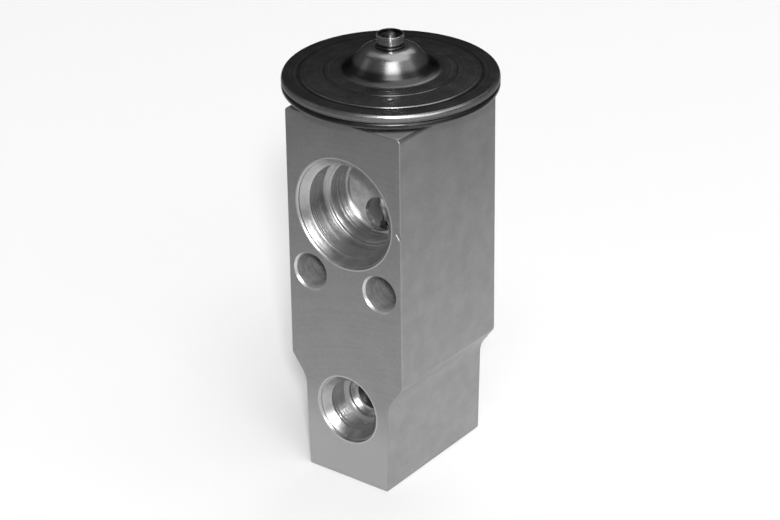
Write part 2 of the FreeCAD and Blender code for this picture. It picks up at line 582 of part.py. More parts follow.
def valve_spring():
    """A compression spring with close end turns, ground flat where it seats."""
    bottom = SCREW_SEAT + SPRING_END_GAP
    top = DAMPER_BOTTOM - SPRING_END_GAP
    wire = 2 * SPRING_WIRE_RADIUS
    steps = int(SPRING_POINTS_PER_TURN * SPRING_TURNS)
    rise = top - bottom
    line = []
    for step in range(steps + 1):
        share = step / steps
        angle = 2 * math.pi * SPRING_TURNS * share
        eased = share - math.sin(2 * math.pi * share) / (2 * math.pi)
        closed = wire * SPRING_TURNS * share
        height = bottom + closed + (rise - wire * SPRING_TURNS) * eased
        line.append(FreeCAD.Vector(SPRING_RADIUS * math.cos(angle), SPRING_RADIUS * math.sin(angle), height))
    curve = Part.BSplineCurve()
    curve.interpolate(line)
    start = curve.value(curve.FirstParameter)
    along = curve.tangent(curve.FirstParameter)[0]
    section = Part.Wire(Part.makeCircle(SPRING_WIRE_RADIUS, start, along))
    coil = Part.Wire(curve.toShape()).makePipeShell([section], True, True)
    room = cylinder(CHAMBER_RADIUS, bottom, top)
    return coil.common(room)


def adjusting_screw():
    groove_bottom = GROOVE_TOP - ADJUSTER_GROOVE_WIDTH
    groove = SCREW_NECK_RADIUS - ADJUSTER_GROOVE_DEPTH
    guide_top = SCREW_SEAT + SCREW_GUIDE_LENGTH
    rim = SCREW_THREAD_RADIUS - SCREW_EDGE
    screw = turned([(0, SCREW_BOTTOM), (rim, SCREW_BOTTOM), (SCREW_THREAD_RADIUS, SCREW_BOTTOM + SCREW_EDGE),
                    (SCREW_THREAD_RADIUS, SCREW_SHOULDER - SCREW_EDGE), (rim, SCREW_SHOULDER),
                    (SCREW_NECK_RADIUS, SCREW_SHOULDER), (SCREW_NECK_RADIUS, groove_bottom),
                    (groove, groove_bottom), (groove, GROOVE_TOP), (SCREW_NECK_RADIUS, GROOVE_TOP),
                    (SCREW_NECK_RADIUS, SCREW_SEAT), (SCREW_GUIDE_RADIUS, SCREW_SEAT),
                    (SCREW_GUIDE_RADIUS, guide_top), (0, guide_top)])
    return screw.cut(hexagon(HEX_WIDTH, SCREW_BOTTOM - OVERRUN, SCREW_BOTTOM + HEX_DEPTH))


def adjuster_seal():
    height = GROOVE_TOP - ADJUSTER_GROOVE_WIDTH / 2
    return ring(CHAMBER_RADIUS - ADJUSTER_SEAL_GAP - ADJUSTER_SEAL_SECTION, ADJUSTER_SEAL_SECTION, height)


PIECES = [valve_body, head_cover, head_lower_housing, diaphragm, charge_boss, charge_ball, head_seal,
          diaphragm_pad, sensing_rod, push_pin, seal_washer, pin_seal, seal_retainer, valve_seat,
          valve_ball, ball_carrier, damping_spring, valve_spring, adjusting_screw, adjuster_seal]

os.makedirs("parts", exist_ok=True)
for piece in PIECES:
    shape = piece()
    print(piece.__name__, "solids", len(shape.Solids), "valid", shape.isValid(), "volume", round(shape.Volume, 2))
    shape.exportStep("parts/" + piece.__name__ + ".step")
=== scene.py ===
# %% [markdown]
# An expansion valve of the block type: a bar of aluminium with stepped ports, and a dark steel
# head on top that holds a thin diaphragm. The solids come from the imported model, in metres, and
# stay where they are. This lesson gives every surface its finish, models the pieces that need a
# closer shape, and sets up the room, the lamps and the camera.

# %% Load the frame
import math

import bmesh
import bpy
from mathutils import Matrix, Vector


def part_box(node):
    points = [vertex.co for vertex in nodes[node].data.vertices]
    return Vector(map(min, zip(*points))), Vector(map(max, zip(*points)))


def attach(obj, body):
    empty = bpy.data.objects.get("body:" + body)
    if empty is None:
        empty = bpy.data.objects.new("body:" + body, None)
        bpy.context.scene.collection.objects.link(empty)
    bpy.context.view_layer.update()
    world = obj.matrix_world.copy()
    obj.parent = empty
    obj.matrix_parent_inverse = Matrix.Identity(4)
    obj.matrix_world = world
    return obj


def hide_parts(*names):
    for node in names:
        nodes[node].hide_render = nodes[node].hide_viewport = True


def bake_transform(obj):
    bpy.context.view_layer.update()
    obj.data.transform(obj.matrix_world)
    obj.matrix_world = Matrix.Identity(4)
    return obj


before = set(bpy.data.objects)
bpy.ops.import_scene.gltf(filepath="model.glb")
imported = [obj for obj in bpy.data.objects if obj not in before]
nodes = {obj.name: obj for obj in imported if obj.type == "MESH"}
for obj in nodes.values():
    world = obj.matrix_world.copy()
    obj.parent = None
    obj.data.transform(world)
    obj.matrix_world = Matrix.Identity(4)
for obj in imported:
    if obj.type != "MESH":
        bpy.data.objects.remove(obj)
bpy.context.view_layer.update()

print("solids in the frame:", len(nodes))

# %% [markdown]
# Blender works in metres and this valve is small, so sizes are written in millimetres and turned
# into metres where they are used. What the box of a solid says is read from it and not typed again.
# Places inside the block, such as the axes of its ports, are typed where they are first needed.

# %% Sizes read from the solids
MM = 0.001


def box_mm(node):
    """A node's lowest and highest corner in millimetres."""
    low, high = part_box(node)
    return low / MM, high / MM


body_low, body_high = box_mm("valve_body")
BODY_HALF_WIDTH = body_high.x
BODY_HALF_DEPTH = body_high.y
HEAD_TOP = box_mm("charge_boss")[1].z
print("block", [round(size, 2) for size in body_high - body_low], "mm")
print("top of the boss at", round(HEAD_TOP, 2), "mm")

# %% [markdown]
# The photograph was taken with a long lens from the front right, a little above. Its camera was
# worked out from corners and circles whose real places are known. The camera looks along its own
# -Z, so its turn is a matrix with the right, up and backward directions as columns.

# %% Camera
CAMERA_AZIMUTH = 37.19
CAMERA_ELEVATION = 27.285
CAMERA_ROLL = -0.769
CAMERA_DISTANCE = 511.476
CAMERA_RIGHT = -0.603
CAMERA_UP = 2.185
CAMERA_AIM_HEIGHT = 38.0
FOCAL_PIXELS = 2711.996
IMAGE_WIDTH = 780
SENSOR_WIDTH = 36.0


def direction(azimuth, elevation):
    """The unit vector from the object towards an azimuth and elevation in degrees."""
    a = math.radians(azimuth)
    e = math.radians(elevation)
    return Vector((math.sin(a) * math.cos(e), -math.cos(a) * math.cos(e), math.sin(e)))


back = direction(CAMERA_AZIMUTH, CAMERA_ELEVATION)
level_right = direction(CAMERA_AZIMUTH + 90, 0)
level_up = back.cross(level_right)
roll = math.radians(CAMERA_ROLL)
right = level_right * math.cos(roll) + level_up * math.sin(roll)
up = level_up * math.cos(roll) - level_right * math.sin(roll)
eye = Vector((0, 0, CAMERA_AIM_HEIGHT)) + right * CAMERA_RIGHT + up * CAMERA_UP + back * CAMERA_DISTANCE

camera_data = bpy.data.cameras.new("camera")
camera_data.sensor_width = SENSOR_WIDTH
camera_data.lens = FOCAL_PIXELS * SENSOR_WIDTH / IMAGE_WIDTH
camera = bpy.data.objects.new("camera", camera_data)
turn = Matrix((right, up, back)).transposed()
camera.matrix_world = Matrix.Translation(eye * MM) @ turn.to_4x4()
bpy.context.scene.collection.objects.link(camera)
bpy.context.scene.camera = camera
print("lens", round(camera_data.lens, 1), "mm at", [round(value, 3) for value in camera.location])

# %% [markdown]
# The room is a photographer's table: a pale sheet of paper on a wide floor. It could be one plain
# white plane, but bare metal shows its room more than its own colour. The block's upright faces
# mirror the floor, low down the paper close by and higher up the floor further out. So the paper
# is pale where the picture shows it and turns softly to grey beside it, and the faces get darker
# towards their top, as they do in the photograph. The paper is an ellipse, long in the direction
# of the camera's look.

# %% Floor
FLOOR_SIZE = 6000.0
PAPER_COLOUR = (0.95, 0.95, 0.95, 1)
FLOOR_COLOUR = (0.2, 0.2, 0.2, 1)
PAPER_HALF_WIDTH = 130.0
PAPER_HALF_LENGTH = 340.0
PAPER_BEHIND = 250.0
PAPER_FADE_START = 0.95
PAPER_FADE_END = 1.5
PAPER_ROUGHNESS = 0.9
PAPER_SHINE = 0.1


def new_mesh_object(name, bm):
    """Turns a bmesh into an object at the origin, in the scene."""
    mesh = bpy.data.meshes.new(name)
    bm.to_mesh(mesh)
    bm.free()
    made = bpy.data.objects.new(name, mesh)
    bpy.context.scene.collection.objects.link(made)
    return made


floor_bm = bmesh.new()
bmesh.ops.create_grid(floor_bm, x_segments=1, y_segments=1, size=FLOOR_SIZE * MM / 2)
floor = new_mesh_object("studio_floor", floor_bm)

floor_material = bpy.data.materials.new("studio_floor")
floor_material.use_nodes = True
tree = floor_material.node_tree
floor_shader = tree.nodes["Principled BSDF"]
floor_shader.inputs["Roughness"].default_value = PAPER_ROUGHNESS
floor_shader.inputs["Specular IOR Level"].default_value = PAPER_SHINE
place = tree.nodes.new("ShaderNodeTexCoord")
ellipse = tree.nodes.new("ShaderNodeMapping")
ellipse.vector_type = "TEXTURE"
ellipse.inputs["Location"].default_value = -direction(CAMERA_AZIMUTH, 0) * PAPER_BEHIND * MM
ellipse.inputs["Rotation"].default_value = (0, 0, math.radians(CAMERA_AZIMUTH))
ellipse.inputs["Scale"].default_value = (PAPER_HALF_WIDTH * MM, PAPER_HALF_LENGTH * MM, 1)
reach = tree.nodes.new("ShaderNodeVectorMath")
reach.operation = "LENGTH"
fade = tree.nodes.new("ShaderNodeMapRange")
fade.interpolation_type = "SMOOTHSTEP"
fade.inputs["From Min"].default_value = PAPER_FADE_START
fade.inputs["From Max"].default_value = PAPER_FADE_END
paper = tree.nodes.new("ShaderNodeMix")
paper.data_type = "RGBA"
paper.inputs["A"].default_value = PAPER_COLOUR
paper.inputs["B"].default_value = FLOOR_COLOUR
tree.links.new(place.outputs["Object"], ellipse.inputs["Vector"])
tree.links.new(ellipse.outputs["Vector"], reach.inputs[0])
tree.links.new(reach.outputs["Value"], fade.inputs["Value"])
tree.links.new(fade.outputs["Result"], paper.inputs["Factor"])
tree.links.new(paper.outputs["Result"], floor_shader.inputs["Base Color"])
floor.data.materials.append(floor_material)
print("floor", FLOOR_SIZE * MM, "m wide, paper from", PAPER_COLOUR[0], "to", FLOOR_COLOUR[0])

# %% [markdown]
# The studio's walls are the world's background: a dim grey, a little lighter low down than
# overhead. They could be real boxes round the table, but only their mirror image matters, on the
# glossy head above all, and a ramp along the height gives that in three nodes.

# %% Studio walls
WALL_LOW = (0.14, 0.14, 0.14, 1)
WALL_HIGH = (0.11, 0.11, 0.11, 1)

world = bpy.data.worlds.new("studio")
world.use_nodes = True
bpy.context.scene.world = world
tree = world.node_tree
sky = tree.nodes["Background"]
place = tree.nodes.new("ShaderNodeTexCoord")
split = tree.nodes.new("ShaderNodeSeparateXYZ")
ramp = tree.nodes.new("ShaderNodeValToRGB")
ramp.color_ramp.elements[0].color = WALL_LOW
ramp.color_ramp.elements[1].color = WALL_HIGH
tree.links.new(place.outputs["Generated"], split.inputs["Vector"])
tree.links.new(split.outputs["Z"], ramp.inputs["Fac"])
tree.links.new(ramp.outputs["Color"], sky.inputs["Color"])
bpy.context.scene.view_settings.view_transform = "Standard"
print("studio walls from", WALL_LOW[0], "to", WALL_HIGH[0])

# %% [markdown]
# The main lamp stands just above and to the right of the camera. The shadow edges inside the
# ports and bolt holes give its direction. It is compact, so it draws crisp white bands on rounded
# rims. A wide box overhead puts the pale patch on the bell. A panel behind the camera and a window
# at the right draw the long light band on the rolled rim. A dim ceiling and two boxes high behind
# the valve give the soft wash about the boss, and a weak lamp at the left adds a second glint in
# the ports. All of them stand well away, so that the paper is lit evenly.

# %% Lamps
AIM_HEIGHT = 45.0


def softbox(name, azimuth, elevation, distance, width, height, power):
    """An area lamp at a direction and distance from the valve, turned to face it. Sizes are in mm."""
    data = bpy.data.lights.new(name, "AREA")
    data.shape = "RECTANGLE"
    data.size = width * MM
    data.size_y = height * MM
    data.energy = power
    lamp = bpy.data.objects.new(name, data)
    towards = direction(azimuth, elevation)
    lamp.location = (Vector((0, 0, AIM_HEIGHT)) + towards * distance) * MM
    lamp.rotation_euler = towards.to_track_quat("Z", "Y").to_euler()
    bpy.context.scene.collection.objects.link(lamp)
    return lamp


# Name, azimuth, elevation, distance, width, height and watts.
LAMPS = [
    ("key", 39.7, 32.3, 3200, 300, 300, 68.0),
    ("overhead", 46, 60, 3000, 1500, 900, 19.0),
    ("ceiling", 165, 74, 3000, 2900, 2500, 30.0),
    ("panel", 62, 26, 3200, 2800, 1800, 24.0),
    ("window", 105, 34, 3200, 1800, 1300, 6.0),
    ("left", -64, 36, 3200, 700, 700, 0.6),
    ("right_rear", 190, 42, 3200, 1100, 1100, 5.0),
    ("left_rear", 256, 53, 3200, 1300, 1300, 2.6),
]
for lamp_values in LAMPS:
    softbox(*lamp_values)

# %% [markdown]
# Every finish starts from the same few effects, so each effect is a node group, built once. A
# group takes a position in millimetres and gives back masks and heights that change over the
# surface. The shader itself stays in the material.

# %% Node helpers
def group(name, inputs, outputs):
    """A new node group with named sockets, and its input and output nodes."""
    made = bpy.data.node_groups.new(name, "ShaderNodeTree")
    for label, kind, default in inputs:
        socket = made.interface.new_socket(label, in_out="INPUT", socket_type=kind)
        if default is not None:
            socket.default_value = default
    for label, kind in outputs:
        made.interface.new_socket(label, in_out="OUTPUT", socket_type=kind)
    return made, made.nodes.new("NodeGroupInput"), made.nodes.new("NodeGroupOutput")


def add(tree, kind, links=None, **settings):
    """Adds a node. Settings are its properties, links says what feeds each input."""
    node = tree.nodes.new(kind)
    for name, value in settings.items():
        setattr(node, name, value)
    for socket, source in (links or {}).items():
        if isinstance(source, bpy.types.NodeSocket):
            tree.links.new(source, node.inputs[socket])
        else:
            node.inputs[socket].default_value = source
    return node


def math_node(tree, operation, first, second=0.0):
    """One step of arithmetic on values that change over the surface."""
    return add(tree, "ShaderNodeMath", {0: first, 1: second}, operation=operation).outputs[0]


def level(tree, value, low, high, to_low=0.0, to_high=1.0):
    """Stretches a value from one span to another and holds it there."""
    links = {"Value": value, "From Min": low, "From Max": high, "To Min": to_low, "To Max": to_high}
    return add(tree, "ShaderNodeMapRange", links, clamp=True).outputs["Result"]


# %% [markdown]
# Mottle is the cloudy unevenness of bare metal: broad clouds of a few millimetres and a fine
# grain of a quarter of a millimetre. It could be a picture of metal wrapped round each piece, but
# noise has no seam, and its sizes are plain numbers that each finish can choose.

# %% Mottle group
mottle, mottle_in, mottle_out = group(
    "mottle", [("Position", "NodeSocketVector", None), ("Cloud size", "NodeSocketFloat", 3.0),
               ("Grain size", "NodeSocketFloat", 0.3)],
    [("Clouds", "NodeSocketFloat"), ("Grain", "NodeSocketFloat")])
cloud_scale = math_node(mottle, "DIVIDE", 1.0, mottle_in.outputs["Cloud size"])
grain_scale = math_node(mottle, "DIVIDE", 1.0, mottle_in.outputs["Grain size"])
clouds = add(mottle, "ShaderNodeTexNoise",
             {"Vector": mottle_in.outputs["Position"], "Scale": cloud_scale,
              "Detail": 3.0, "Roughness": 0.55})
grain = add(mottle, "ShaderNodeTexNoise",
            {"Vector": mottle_in.outputs["Position"], "Scale": grain_scale,
             "Detail": 2.0, "Roughness": 0.6})
mottle.links.new(level(mottle, clouds.outputs["Fac"], 0.3, 0.7), mottle_out.inputs["Clouds"])
mottle.links.new(level(mottle, grain.outputs["Fac"], 0.3, 0.7), mottle_out.inputs["Grain"])
print("group", mottle.name, "with", len(mottle.nodes), "nodes")

# %% [markdown]
# Drawn metal carries straight lines along the way it was pulled. They are far too fine to be
# modelled. Noise that is squeezed across that way and stretched along it gives lines that start
# and stop, as real ones do.

# %% Drawn lines group
drawn, drawn_in, drawn_out = group(
    "drawn_lines", [("Position", "NodeSocketVector", None), ("Line width", "NodeSocketFloat", 0.25),
                    ("Line length", "NodeSocketFloat", 14.0)],
    [("Lines", "NodeSocketFloat")])
parts = add(drawn, "ShaderNodeSeparateXYZ", {"Vector": drawn_in.outputs["Position"]})
across_x = math_node(drawn, "DIVIDE", parts.outputs["X"], drawn_in.outputs["Line width"])
along_y = math_node(drawn, "DIVIDE", parts.outputs["Y"], drawn_in.outputs["Line length"])
across_z = math_node(drawn, "DIVIDE", parts.outputs["Z"], drawn_in.outputs["Line width"])
squeezed = add(drawn, "ShaderNodeCombineXYZ", {"X": across_x, "Y": along_y, "Z": across_z})
lines = add(drawn, "ShaderNodeTexNoise",
            {"Vector": squeezed.outputs["Vector"], "Scale": 1.0, "Detail": 3.0, "Roughness": 0.6})
drawn.links.new(level(drawn, lines.outputs["Fac"], 0.3, 0.7), drawn_out.inputs["Lines"])
print("group", drawn.name, "with", len(drawn.nodes), "nodes")

# %% [markdown]
# A turned surface has fine rings about its axis, on its flats and on its walls. A wave texture
# would give rings that are all alike, so they are noise of one dimension, read along the distance
# from the axis plus the height along it. The axis is the group's Z, so a Mapping node in the
# material brings each axis to the middle.

# %% Turned rings group
turned, turned_in, turned_out = group(
    "turned_rings", [("Position", "NodeSocketVector", None), ("Ring width", "NodeSocketFloat", 0.2)],
    [("Rings", "NodeSocketFloat"), ("Radius", "NodeSocketFloat")])
flat = add(turned, "ShaderNodeVectorMath", {0: turned_in.outputs["Position"], 1: (1, 1, 0)},
           operation="MULTIPLY")
radius = add(turned, "ShaderNodeVectorMath", {0: flat.outputs["Vector"]},
             operation="LENGTH").outputs["Value"]
height = add(turned, "ShaderNodeSeparateXYZ", {"Vector": turned_in.outputs["Position"]}).outputs["Z"]
run = math_node(turned, "DIVIDE", math_node(turned, "ADD", radius, height),
                turned_in.outputs["Ring width"])
rings = add(turned, "ShaderNodeTexNoise", {"W": run, "Scale": 0.5, "Detail": 2.0, "Roughness": 0.7},
            noise_dimensions="1D")
turned.links.new(level(turned, rings.outputs["Fac"], 0.3, 0.7), turned_out.inputs["Rings"])
turned.links.new(radius, turned_out.inputs["Radius"])
print("group", turned.name, "with", len(turned.nodes), "nodes")

# %% [markdown]
# Edge wear is where handling has polished a block's corners. It could be painted on by hand, but
# here the distance of a point from the block's upright edges follows from its place: it is near
# one where both its width and its depth are close to their greatest value.

# %% Edge wear group
wear, wear_in, wear_out = group(
    "edge_wear", [("Position", "NodeSocketVector", None), ("Half width", "NodeSocketFloat", 10.0),
                  ("Half depth", "NodeSocketFloat", 10.0), ("Reach", "NodeSocketFloat", 0.6)],
    [("Wear", "NodeSocketFloat")])
place_in = add(wear, "ShaderNodeSeparateXYZ", {"Vector": wear_in.outputs["Position"]})
from_side = math_node(wear, "SUBTRACT", wear_in.outputs["Half width"],
                      math_node(wear, "ABSOLUTE", place_in.outputs["X"]))
from_face = math_node(wear, "SUBTRACT", wear_in.outputs["Half depth"],
                      math_node(wear, "ABSOLUTE", place_in.outputs["Y"]))
from_edge = math_node(wear, "MAXIMUM", from_side, from_face)
uneven = add(wear, "ShaderNodeTexNoise",
             {"Vector": wear_in.outputs["Position"], "Scale": 0.9, "Detail": 3.0, "Roughness": 0.7})
reach = math_node(wear, "MULTIPLY", wear_in.outputs["Reach"], uneven.outputs["Fac"])
near = math_node(wear, "SUBTRACT", 1.0, math_node(wear, "DIVIDE", from_edge, reach))
wear.links.new(level(wear, near, 0.0, 1.0), wear_out.inputs["Wear"])
print("group", wear.name, "with", len(wear.nodes), "nodes")

# %% [markdown]
# A finish is one material. The helper below starts each one: the shader with its plain numbers,
# and the position in millimetres, moved and turned so that the piece's own axis is Z.

# %% Start of a finish
def finish(name, metallic=1.0, coat=0.0, axis_at=(0, 0, 0), turned_about_y=False):
    """A new material, its tree, its shader and the position that its patterns read."""
    material = bpy.data.materials.new(name)
    material.use_nodes = True
    tree = material.node_tree
    shader = tree.nodes["Principled BSDF"]
    shader.inputs["Metallic"].default_value = metallic
    shader.inputs["Coat Weight"].default_value = coat
    centre = Vector(axis_at) * MM
    away = add(tree, "ShaderNodeVectorMath",
               {0: add(tree, "ShaderNodeTexCoord").outputs["Object"], 1: centre}, operation="SUBTRACT")
    tilt = (math.pi / 2, 0, 0) if turned_about_y else (0, 0, 0)
    mapping = add(tree, "ShaderNodeMapping", {"Vector": away.outputs["Vector"], "Rotation": tilt})
    mapping.inputs["Scale"].default_value = (1 / MM,) * 3
    return material, tree, shader, mapping.outputs["Vector"]


def use(tree, node_group, position, **values):
    """Places a node group in a material with its own values."""
    node = add(tree, "ShaderNodeGroup", node_tree=node_group)
    tree.links.new(position, node.inputs["Position"])
    for label, value in values.items():
        node.inputs[label.replace("_", " ")].default_value = value
    return node.outputs


def grey_between(tree, factor, dark, light):
    """A colour between a dark and a light shade, by a mask."""
    node = add(tree, "ShaderNodeMix", data_type="RGBA")
    tree.links.new(factor, node.inputs["Factor"])
    node.inputs["A"].default_value = (*dark, 1)
    node.inputs["B"].default_value = (*light, 1)
    return node.outputs["Result"]


def laid_over(tree, ground, mask, shade):
    """A colour with a plain shade laid over it, as far as the mask says."""
    node = add(tree, "ShaderNodeMix", data_type="RGBA")
    tree.links.new(mask, node.inputs["Factor"])
    tree.links.new(ground, node.inputs["A"])
    node.inputs["B"].default_value = (*shade, 1)
    return node.outputs["Result"]


def highest(tree, masks):
    """The greatest of several masks."""
    top = masks[0]
    for mask in masks[1:]:
        top = math_node(tree, "MAXIMUM", top, mask)
    return top


def weighted(tree, terms, start=0.0):
    """The sum of masks, each times its weight."""
    total = start
    for mask, weight in terms:
        total = math_node(tree, "ADD", math_node(tree, "MULTIPLY", mask, weight), total)
    return total


def relief(tree, shader, height, depth_mm):
    """Gives the surface a height pattern of the given depth."""
    bump = add(tree, "ShaderNodeBump", {"Height": height, "Distance": depth_mm * MM, "Strength": 1.0})
    tree.links.new(bump.outputs["Normal"], shader.inputs["Normal"])


# %% [markdown]
# The block's front and rear faces are milled with a wide face cutter: satin grey aluminium with
# clouds, a fine grain and very faint arcs. The arcs could be modelled as grooves, but a relief in
# the finish is enough for marks so low: they are turned rings about an axis far below. The foot's
# faces are painted a little brighter than the rest, by a mask along the height: this is painted light.

# %% Milled aluminium
MILLED_DARK = (0.25, 0.25, 0.25)
MILLED_LIGHT = (0.35, 0.35, 0.35)
# Painted light: the lighter grey laid over the faces low down, at the foot.
FOOT_PAINTED_LIGHT = (0.41, 0.41, 0.41)
FOOT_FADE_TOP = 19.0
FOOT_FADE_BOTTOM = 9.0
BAR_METALLIC = 0.9
CUTTER_SHIFT = (14.0, 0.0, -30.0)

milled, tree, shader, spot = finish("milled_aluminium", BAR_METALLIC, axis_at=CUTTER_SHIFT,
                                    turned_about_y=True)
marks = use(tree, turned, spot, Ring_width=0.5)
spots = use(tree, mottle, spot, Cloud_size=4.0, Grain_size=0.35)
shade = weighted(tree, [(marks["Rings"], 0.15), (spots["Clouds"], 0.35), (spots["Grain"], 0.5)])
plain = grey_between(tree, shade, MILLED_DARK, MILLED_LIGHT)
on_block = add(tree, "ShaderNodeTexCoord").outputs["Object"]
sides_of_block = add(tree, "ShaderNodeSeparateXYZ", {"Vector": on_block})
# Painted light, fading in towards the foot.
painted_light_at_foot = level(tree, sides_of_block.outputs["Z"], FOOT_FADE_TOP * MM, FOOT_FADE_BOTTOM * MM)
with_painted_foot_light = laid_over(tree, plain, painted_light_at_foot, FOOT_PAINTED_LIGHT)
tree.links.new(weighted(tree, [(spots["Grain"], 0.08), (spots["Clouds"], 0.06)], start=0.42),
               shader.inputs["Roughness"])
relief(tree, shader, weighted(tree, [(marks["Rings"], 0.5), (spots["Grain"], 0.5)]), depth_mm=0.006)
print("finish", milled.name)

# %% [markdown]
# Each port has a thin bright ring about its mouth, a painted highlight of lighter grey. It could be
# a separate ring of faces, but it has no edge on the real valve, so it is a mask in the milled
# finish: the distance from the port's axis, kept to the port's own side of the block. A port is
# written as its side, its axis height and the radius of its mouth.

# %% Painted highlight rings
# Painted highlight: the lighter grey of the thin ring about each port's mouth.
MOUTH_HIGHLIGHT_SHADE = (0.54, 0.54, 0.54)
MOUTH_HIGHLIGHT_START = 0.08
MOUTH_HIGHLIGHT_END = 0.24
PORTS = {"front_suction": (-1, 55.9, 10.95), "front_liquid": (-1, 14.9, 6.9),
         "rear_suction": (1, 51.7, 8.15), "rear_liquid": (1, 25.6, 6.25)}

painted_mouth_highlights = []
for face_side, axis_height, mouth in PORTS.values():
    from_axis = add(tree, "ShaderNodeVectorMath", {0: on_block, 1: (0, 0, axis_height * MM)},
                    operation="SUBTRACT").outputs["Vector"]
    upright = add(tree, "ShaderNodeVectorMath", {0: from_axis, 1: (1, 0, 1)}, operation="MULTIPLY")
    away = add(tree, "ShaderNodeVectorMath", {0: upright.outputs["Vector"]},
               operation="LENGTH").outputs["Value"]
    ring = level(tree, away, (mouth + MOUTH_HIGHLIGHT_START) * MM, (mouth + MOUTH_HIGHLIGHT_END) * MM, 1.0, 0.0)
    here = level(tree, sides_of_block.outputs["Y"], 0.0, MM * face_side)
    painted_mouth_highlights.append(math_node(tree, "MULTIPLY", ring, here))
# The painted highlight rings are laid over the milled grey here.
with_mouth_highlights = laid_over(tree, with_painted_foot_light, highest(tree, painted_mouth_highlights), MOUTH_HIGHLIGHT_SHADE)
tree.links.new(with_mouth_highlights, shader.inputs["Base Color"])
print("painted highlight rings on", milled.name, "about", len(painted_mouth_highlights), "ports")

# %% [markdown]
# The sides are as the bar was drawn: lines along its length, which is the block's depth, soft
# clouds, and worn edges. The top end was sawn off, so it is paler and duller. The two could be
# built apart, but they differ only in their shades and in how metallic they are, so one function
# makes both.

# %% Drawn aluminium
DRAWN_DARK = (0.28, 0.28, 0.28)
DRAWN_LIGHT = (0.39, 0.39, 0.39)
END_DARK = (0.42, 0.42, 0.42)
END_LIGHT = (0.6, 0.6, 0.6)
END_METALLIC = 0.35


def drawn_finish(name, dark_shade, light_shade, metallic=BAR_METALLIC):
    """A face of the bar with drawn lines, clouds and worn edges."""
    material, tree, shader, spot = finish(name, metallic)
    strokes = use(tree, drawn, spot, Line_width=0.35, Line_length=12.0)
    spots = use(tree, mottle, spot, Cloud_size=3.5, Grain_size=0.35)
    worn = use(tree, wear, spot, Half_width=BODY_HALF_WIDTH, Half_depth=BODY_HALF_DEPTH, Reach=0.9)
    shade = weighted(tree, [(strokes["Lines"], 0.12), (spots["Clouds"], 0.55), (spots["Grain"], 0.33),
                            (worn["Wear"], 0.4)])
    tree.links.new(grey_between(tree, shade, dark_shade, light_shade), shader.inputs["Base Color"])
    tree.links.new(weighted(tree, [(spots["Grain"], 0.08), (spots["Clouds"], 0.06)], start=0.42),
                   shader.inputs["Roughness"])
    relief(tree, shader, weighted(tree, [(strokes["Lines"], 0.35), (spots["Grain"], 0.65)]), depth_mm=0.009)
    return material


side = drawn_finish("drawn_aluminium", DRAWN_DARK, DRAWN_LIGHT)
sawn_end = drawn_finish("sawn_end_aluminium", END_DARK, END_LIGHT, metallic=END_METALLIC)
print("finishes", side.name, sawn_end.name)

# %% [markdown]
# Ports are turned with a form tool, so they shine more than the faces and carry fine rings about
# their own axes. The rings catch the lamp and stretch it to a streak along the wall. The bolt holes
# are drilled, with wider rings and with shades that lie further apart. One finish for all bores
# couldn't follow so many axes, so a small function makes one finish each.

# %% Turned ports and bolt holes
PORT_DARK = (0.34, 0.34, 0.34)
PORT_LIGHT = (0.57, 0.57, 0.57)
PORT_RING_WIDTH = 0.16
PORT_RELIEF = 0.1
HOLE_DARK = (0.32, 0.32, 0.32)
HOLE_LIGHT = (0.86, 0.86, 0.86)
HOLE_RING_WIDTH = 0.3
HOLE_RELIEF = 0.03
HOLE_METALLIC = 0.7
BOLT_HEIGHT = 41.9
BOLT_PLACES = (-8.0, 8.0)


def bored(name, axis_x, axis_height, dark_shade, light_shade, ring_width, depth, metallic=1.0):
    """A finish with rings about a bore that lies along the block's depth."""
    axis_at = (axis_x, 0, axis_height)
    material, tree, shader, spot = finish(name, metallic, axis_at=axis_at, turned_about_y=True)
    marks = use(tree, turned, spot, Ring_width=ring_width)
    spots = use(tree, mottle, spot, Cloud_size=2.0, Grain_size=0.3)
    shade = weighted(tree, [(marks["Rings"], 0.4), (spots["Clouds"], 0.4), (spots["Grain"], 0.2)])
    tree.links.new(grey_between(tree, shade, dark_shade, light_shade), shader.inputs["Base Color"])
    tree.links.new(weighted(tree, [(spots["Clouds"], 0.1), (marks["Rings"], 0.06)], start=0.27),
                   shader.inputs["Roughness"])
    relief(tree, shader, weighted(tree, [(marks["Rings"], 0.95), (spots["Grain"], 0.05)]), depth)
    return material


hole_finishes = [bored(f"bolt_hole_{number}", hole_x, BOLT_HEIGHT, HOLE_DARK, HOLE_LIGHT,
                       HOLE_RING_WIDTH, HOLE_RELIEF, HOLE_METALLIC)
                 for number, hole_x in enumerate(BOLT_PLACES, start=1)]
port_finishes = [bored(name, 0, axis_height, PORT_DARK, PORT_LIGHT, PORT_RING_WIDTH, PORT_RELIEF)
                 for name, (_, axis_height, _) in PORTS.items()]
print("finishes", [material.name for material in hole_finishes + port_finishes])

# %% [markdown]
# The ledges and floors in the ports, where seals and pipe plates sit, are faced and then cleaned
# with a brush. They are duller than the walls and a little cloudy. The brush has taken the rings
# away, so mottle alone does it.

# %% Port floors
PORT_FLOOR_DARK = (0.3, 0.3, 0.3)
PORT_FLOOR_LIGHT = (0.56, 0.56, 0.56)

port_floor, tree, shader, spot = finish("port_floor", metallic=0.4)
spots = use(tree, mottle, spot, Cloud_size=1.8, Grain_size=0.3)
shade = weighted(tree, [(spots["Clouds"], 0.6), (spots["Grain"], 0.4)])
tree.links.new(grey_between(tree, shade, PORT_FLOOR_DARK, PORT_FLOOR_LIGHT), shader.inputs["Base Color"])
tree.links.new(weighted(tree, [(spots["Grain"], 0.1)], start=0.5), shader.inputs["Roughness"])
relief(tree, shader, weighted(tree, [(spots["Clouds"], 0.5), (spots["Grain"], 0.5)]), depth_mm=0.012)
print("finish", port_floor.name)

